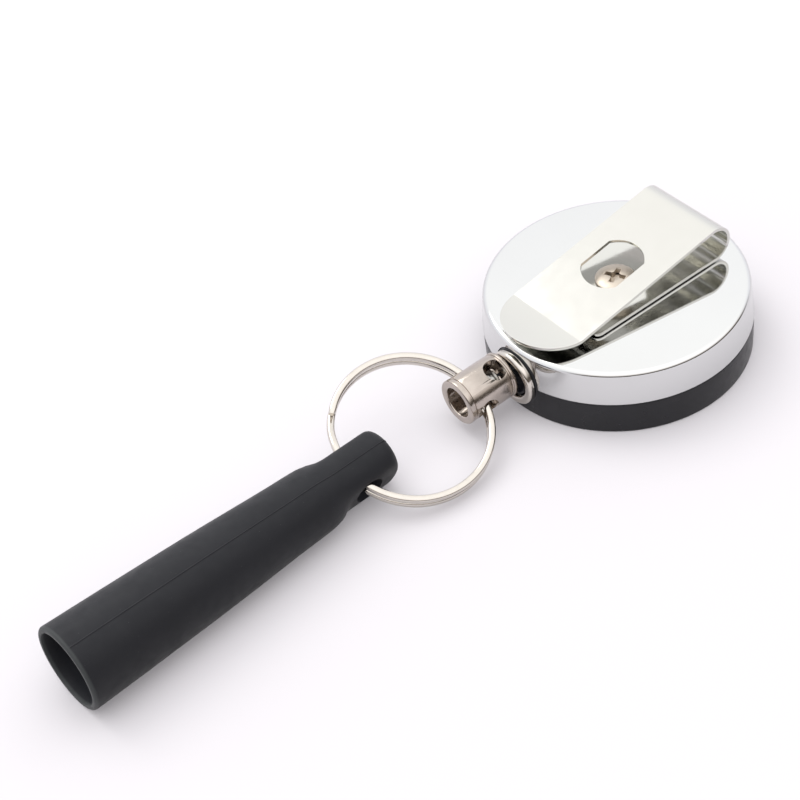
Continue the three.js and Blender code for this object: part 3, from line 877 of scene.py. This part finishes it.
def cross_recess(piece, floor, top):
    """Cuts two crossed slots, which widen upwards, and a round core where they meet."""
    floor_reach, floor_half = 1.25, 0.32
    longer, wider = 0.45, 0.1  # how much a slot grows from its floor to the top
    core_radius = 0.75
    for turn in (25, 115):
        spin = Matrix.Rotation(math.radians(turn), 3, "Z")
        corners = []
        for height, grown in ((floor, 0), (top, 1)):
            long, wide = floor_reach + longer * grown, floor_half + wider * grown
            for u, v in ((-long, -wide), (long, -wide), (long, wide), (-long, wide)):
                corners.append(spin @ Vector((u, v, height)))
        faces = [(3, 2, 1, 0), (4, 5, 6, 7), (0, 1, 5, 4), (1, 2, 6, 5), (2, 3, 7, 6), (3, 0, 4, 7)]
        combine(piece, [new_object("cutter", corners, faces, "screw")])
    combine(piece, [rod((0, 0, floor - 0.05), (0, 0, top + 1), core_radius, 24)])


# ---------------------------------------------------------------- fitting, cord and split ring


def fitting():
    """A turned barrel: a back flange, a neck, a groove before the mouth, the ring's hole and a side port."""
    bore, wall, cord_hole = 2.35, 1.25, 0.55
    radius, back, front = FITTING_RADIUS, FITTING_BACK, FITTING_FRONT
    flange_edge, neck, groove, mouth_edge = 0.2, 0.16, 0.16, 0.25
    flange_radius = radius + FLANGE_RISE - flange_edge
    outline = [
        (cord_hole, back),
        *arc(flange_radius, back + flange_edge, flange_edge, -90, 0, 5),
        *arc(flange_radius, back + 2 * flange_edge, flange_edge, 0, 60, 3),
        *arc(radius - 0.06, back + 0.72, neck, 240, 120, 6),
        (radius, back + 0.95),
        (radius, front - 1.0),
        (radius - groove, front - 0.94),
        (radius - groove, front - 0.84),
        (radius + 0.04, front - 0.78),
        *arc(radius - 0.2, front - mouth_edge, mouth_edge, 0, 90, 5),
        *arc(bore + mouth_edge, front - mouth_edge, mouth_edge, 90, 180, 5),
        (bore, back + wall + 0.2),
        (bore - 0.2, back + wall),
        (cord_hole, back + wall),
    ]
    piece = lathe("fitting", outline, "nickel", 128, "X", FITTING_AXIS, "fitting")
    side = rolled(1, 0)
    up = rolled(0, 1)
    beyond = 6  # past the fitting's skin
    ring_hole, port_hole, port_x = 1.8, 1.7, 23.1
    port = Vector((port_x, SWING.y, SWING.z))
    cross_hole = rod(SWING - side * beyond, SWING + side * beyond, ring_hole)
    side_port = rod(port + up * 0.5, port + up * beyond, port_hole)
    body_start = FITTING_AXIS + Vector((back + 0.9, 0, 0))
    behind_flange = rod(body_start, FITTING_AXIS + Vector((front, 0, 0)), 8)
    combine(side_port, [behind_flange], "INTERSECT")
    combine(piece, [cross_hole, side_port])
    soften(piece, 0.05, 2, 45)
    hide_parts("swivel_barrel")
    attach(piece, "fitting")


def cord():
    """The cord from its last turn on the spool to the ferrule."""
    radius = 0.4
    turn_radius = high("cord_winding").x + radius + 0.05
    turn_start, turn_steps = -90, 12
    turn = [(u, v, CORD_HEIGHT) for u, v in arc(0, 0, turn_radius, turn_start, turn_start + 45, turn_steps)]
    straight_from, straight_to, straight_steps = EYELET_FRONT - 0.4, high("cord_tail").x, 60
    to_eyelet = [(14.2, -5.35), (17.2, -2.5), (18.6, SWING.y), (straight_from, SWING.y)]
    knots = [turn[-2][:2], turn[-1][:2], *to_eyelet, (EYELET_FRONT + 2, SWING.y)]
    length = straight_to - straight_from
    straight = [(straight_from + length * i / straight_steps, SWING.y, CORD_HEIGHT)
                for i in range(1, straight_steps + 1)]
    piece = tube("pull_cord", turn + smooth_line(knots, 8) + straight, "cord", circle(radius, 14))
    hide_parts("cord_run", "cord_tail")
    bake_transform(piece)


def smooth_line(knots, steps):
    """A Catmull-Rom line through the knots but the first and last two, level with the cord."""
    points = []
    for before, start, end, after in zip(knots, knots[1:], knots[2:], knots[3:]):
        for i in range(1, steps + 1):
            t = i / steps
            point = []
            for a, b, c, d in zip(before, start, end, after):
                point.append(0.5 * (2 * b + (c - a) * t + (2 * a - 5 * b + 4 * c - d) * t * t
                                    + (3 * b - a - 3 * c + d) * t ** 3))
            points.append((*point, CORD_HEIGHT))
    return points


def split_ring():
    """Two turns of one flattened wire, with the step from one layer to the other beside its ends."""
    radius, wire, layer = 11.45, 0.58, 0.6
    jog, start, steps = 28, 343.5, 360
    play, slid = 0.35, -0.5  # how the wire lies in the fitting's cross hole
    end_rounding = (0.72, 0.9, 0.98)
    side, up = rolled(1, 0), rolled(0, 1)
    centre = SWING + Vector((radius - play, 0, 0)) + side * slid
    travel = 720 - jog
    section = squared_circle(wire, 20)
    sides = len(section)
    verts, faces = [], []
    for i in range(steps + 1):
        travelled = travel * i / steps
        share = min(max((travelled - 360 + jog) / jog, 0), 1)
        rise = layer * (2 * share * share * (3 - 2 * share) - 1)
        angle = math.radians(start + travelled)
        out = Vector((math.cos(angle), 0, 0)) + side * math.sin(angle)
        place = centre + out * radius + up * rise
        from_end = min(i, steps - i)
        shrink = end_rounding[from_end] if from_end < len(end_rounding) else 1.0
        verts.extend(place + (out * u + up * v) * shrink for u, v in section)
    for i in range(steps):
        for k in range(sides):
            after = (k + 1) % sides
            faces.append((i * sides + k, i * sides + after, (i + 1) * sides + after, (i + 1) * sides + k))
    faces.append(tuple(reversed(range(sides))))
    faces.append(tuple(range(steps * sides, (steps + 1) * sides)))
    piece = new_object("ring", verts, faces, "nickel")
    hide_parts("split_ring")
    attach(piece, "ring")


def squared_circle(radius, sides):
    """The section of wire rolled flat: a circle that is a little squarer and a little smaller."""
    squareness, shrink = 0.72, 0.97
    points = []
    for k in range(sides):
        angle = FULL_TURN * k / sides
        u, v = math.cos(angle), math.sin(angle)
        points.append((math.copysign(abs(u) ** squareness, u) * radius * shrink,
                       math.copysign(abs(v) ** squareness, v) * radius * shrink))
    return points


# ---------------------------------------------------------------- rubber sleeve

SHOULDER = 43.5  # where the sleeve narrows to its end, from its mouth
SLEEVE_PROFILE = [  # distance from the mouth and outer radius: a long taper, the shoulder and the end
    (-6, 6.62), (0, 6.45), (12, 6.1), (24, 5.68), (36, 5.1), (41.5, 4.88),
    (43.0, 4.62), (44.4, 4.41), (46.5, 4.4), (70, 4.4),
]


def sleeve_radius(s):
    """The sleeve's outer radius at a distance from its mouth, on a smooth curve through its profile."""
    for index in range(1, len(SLEEVE_PROFILE) - 2):
        (s0, r0), (s1, r1), (s2, r2), (s3, r3) = SLEEVE_PROFILE[index - 1:index + 3]
        if s <= s2:
            t = (s - s1) / (s2 - s1)
            slope1 = (r2 - r0) / (s2 - s0) * (s2 - s1)
            slope2 = (r3 - r1) / (s3 - s1) * (s2 - s1)
            return ((2 * t ** 3 - 3 * t ** 2 + 1) * r1 + (t ** 3 - 2 * t ** 2 + t) * slope1
                    + (3 * t ** 2 - 2 * t ** 3) * r2 + (t ** 3 - t ** 2) * slope2)
    return SLEEVE_PROFILE[-1][1]


def sleeve_turns():
    """Angles round the sleeve, closer together at the two parting lines, with the line's share at each."""
    sides, fine, reach = 144, 0.6, 2.0
    parting_lines = (90, 270)
    across_line = [(-2, 0), (-1, 0.7), (0, 1), (1, 0.7), (2, 0)]
    turns = []
    for k in range(sides):
        angle = 360 * k / sides
        if min(abs(angle - line) for line in parting_lines) > reach:
            turns.append((angle, 0.0))
    for line in parting_lines:
        turns += [(line + fine * k, share) for k, share in across_line]
    return [(math.radians(angle), share) for angle, share in sorted(turns)]


def flattened(radius, s, angle):
    """The skin's radius where the end is pressed flat on two sides, beside the hole."""
    flat_at, sharpness, blend_length = 3.5, 14, 2.0
    flatness = min(max((s - SHOULDER) / blend_length, 0), 1)
    limit = flat_at / max(abs(math.cos(angle)), 1e-3)
    squeezed = (radius ** -sharpness + limit ** -sharpness) ** (-1 / sharpness)
    return radius + (squeezed - radius) * flatness


def sleeve_rows():
    """Rings of the sleeve from the bore's floor out round the lip to the end, as distance, radius, skin."""
    bore_depth, bore_radius, bore_taper, bore_rows = 39, 5.55, 1.45, 24
    lip, corner, skin_rows = 0.5, 2.0, 96
    lip_start = 0.15  # where the bore starts to open into the lip
    rows = []
    for i in range(bore_rows + 1):
        s = bore_depth - (bore_depth - lip_start) * i / bore_rows
        rows.append((s, bore_radius - bore_taper * s / bore_depth, False))
    rows += [(0.04, bore_radius + 0.05, False), (0, bore_radius + lip_start, False)]
    rows += [(v, u, False) for u, v in arc(sleeve_radius(lip) - lip, lip, lip, 270, 350, 8)]
    for i in range(skin_rows + 1):
        s = lip + (SLEEVE_LENGTH - corner - lip) * i / skin_rows
        rows.append((s, sleeve_radius(s), True))
    end_radius = sleeve_radius(SLEEVE_LENGTH)
    rows += [(v, u, True) for u, v in arc(end_radius - corner, SLEEVE_LENGTH - corner, corner, 9, 90, 9)]
    return rows


def sleeve():
    """A moulded tube with a rounded lip, two parting lines, a small shoulder and a flattened end."""
    seam_height, nib_height, nib_length = 0.07, 0.3, 0.3
    nib_at = SLEEVE_LENGTH - 0.7
    rows, turns = sleeve_rows(), sleeve_turns()
    sides = len(turns)
    verts, faces = [], []
    for s, radius, skin in rows:
        nib = nib_height * math.exp(-((s - nib_at) / nib_length) ** 2)
        for angle, seam in turns:
            r = flattened(radius, s, angle) + (seam_height + nib) * seam if skin else radius
            point = Vector((-s, 0, 0)) + rolled(r * math.cos(angle), r * math.sin(angle))
            verts.append(SLEEVE_MOUTH + SLEEVE_HEADING @ point)
    for i in range(len(rows) - 1):
        for k in range(sides):
            after = (k + 1) % sides
            faces.append((i * sides + k, i * sides + after, (i + 1) * sides + after, (i + 1) * sides + k))
    faces.append(tuple(reversed(range(sides))))
    faces.append(tuple(range((len(rows) - 1) * sides, len(rows) * sides)))
    piece = new_object("sleeve", verts, faces, "rubber")
    ring_hole = 2.3
    hole = joint_place("sleeve_pivot")
    across = SLEEVE_HEADING @ rolled(1, 0)
    combine(piece, [rod(hole - across * 8, hole + across * 8, ring_hole, 48)])
    tidy(piece, 30)
    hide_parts("tool_sleeve")
    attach(piece, "sleeve")


# ---------------------------------------------------------------- everything together


def paint_hidden_parts():
    """The parts inside the case keep their CAD shape and take their own materials."""
    for name, node in frame["nodes"].items():
        for index, slot in enumerate(node.data.materials):
            node.data.materials[index] = MATERIALS[slot.name]


paint_hidden_parts()
cover()
housing()
disc()
eyelet()
guide()
clip()
screw()
fitting()
cord()
split_ring()
sleeve()
